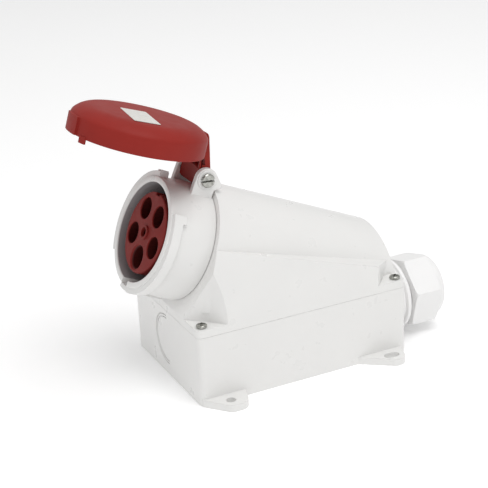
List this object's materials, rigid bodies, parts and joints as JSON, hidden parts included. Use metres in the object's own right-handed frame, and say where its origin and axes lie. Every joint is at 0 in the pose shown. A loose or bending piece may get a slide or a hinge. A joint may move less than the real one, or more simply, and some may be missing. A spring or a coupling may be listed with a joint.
{
  "type": "surface-mounted industrial socket box",
  "caption": "Surface-mounted industrial socket box with a sloping hood, a round angled mouth, a hinged lid standing open, four feet and a cable gland.",
  "frame": {"origin": "middle of the base's flat back, on the mounting surface", "axes": "+Z out of the mounting surface, -Y towards the socket end, +Y towards the cable gland, +X across"},
  "size_m": [0.156, 0.2783, 0.2172],
  "materials": {
    "white": "satin moulded",
    "gland_white": "fine moulded",
    "lid_red": "satin moulded",
    "insert_red": "moulded",
    "rubber": "matt",
    "brass": "turned",
    "steel": "bright plated",
    "label": "blank foil label"
  },
  "bodies": {
    "housing": {"socket_collar": "white", "collar_seal": "rubber", "collar_ring_nut": "white", "contact_carrier": "insert_red", "carrier_core": "insert_red", "carrier_back": "insert_red", "contact_l1": "brass", "terminal_screw_l1": "steel", "contact_l2": "brass", "terminal_screw_l2": "steel", "contact_l3": "brass", "terminal_screw_l3": "steel", "contact_earth": "brass", "terminal_screw_earth": "steel", "contact_neutral": "brass", "terminal_screw_neutral": "steel", "contact_pilot": "brass", "terminal_screw_pilot": "steel", "carrier_screw_1": "steel", "carrier_screw_2": "steel", "carrier_screw_3": "steel", "hinge_pin": "steel", "hinge_pin_clip": "steel", "hinge_washer_right": "rubber", "hinge_washer_left": "rubber", "gland_washer": "rubber", "gland_body": "gland_white", "gland_locknut": "gland_white", "gland_seal": "rubber", "base_box": "white", "cover_gasket_left": "rubber", "cover_gasket_front": "rubber", "cover_gasket_rear": "rubber", "cover_gasket_right": "rubber", "hood": "white", "cover_screw_front_right": "steel", "cover_screw_front_left": "steel", "cover_screw_rear_right": "steel", "cover_screw_rear_left": "steel"},
    "lid": {"lid_shell": "lid_red", "lid_gasket": "rubber", "lid_label": "label"},
    "gland_ring": {"gland_thrust_ring": "gland_white"},
    "gland_cap": {"gland_nut": "gland_white"}
  },
  "joints": [
    {"name": "lid_hinge", "type": "hinge", "parent": "housing", "child": "lid", "pos_m": [0, -0.05353, 0.15457], "axis": [1, 0, 0], "range_deg": [-20, 83]},
    {"name": "gland_travel", "type": "slide", "parent": "housing", "child": "gland_ring", "axis": [0, 1, 0], "range_m": [0, 0.0061]},
    {"name": "gland_turn", "type": "hinge", "parent": "gland_ring", "child": "gland_cap", "pos_m": [0.0227, 0.12, 0.0319], "axis": [0, 1, 0], "range_deg": [0, 1080]}
  ],
  "couplings": [
    {"joint": "gland_travel", "follows": "gland_turn", "m_per_rad": 0.00031831}
  ]
}
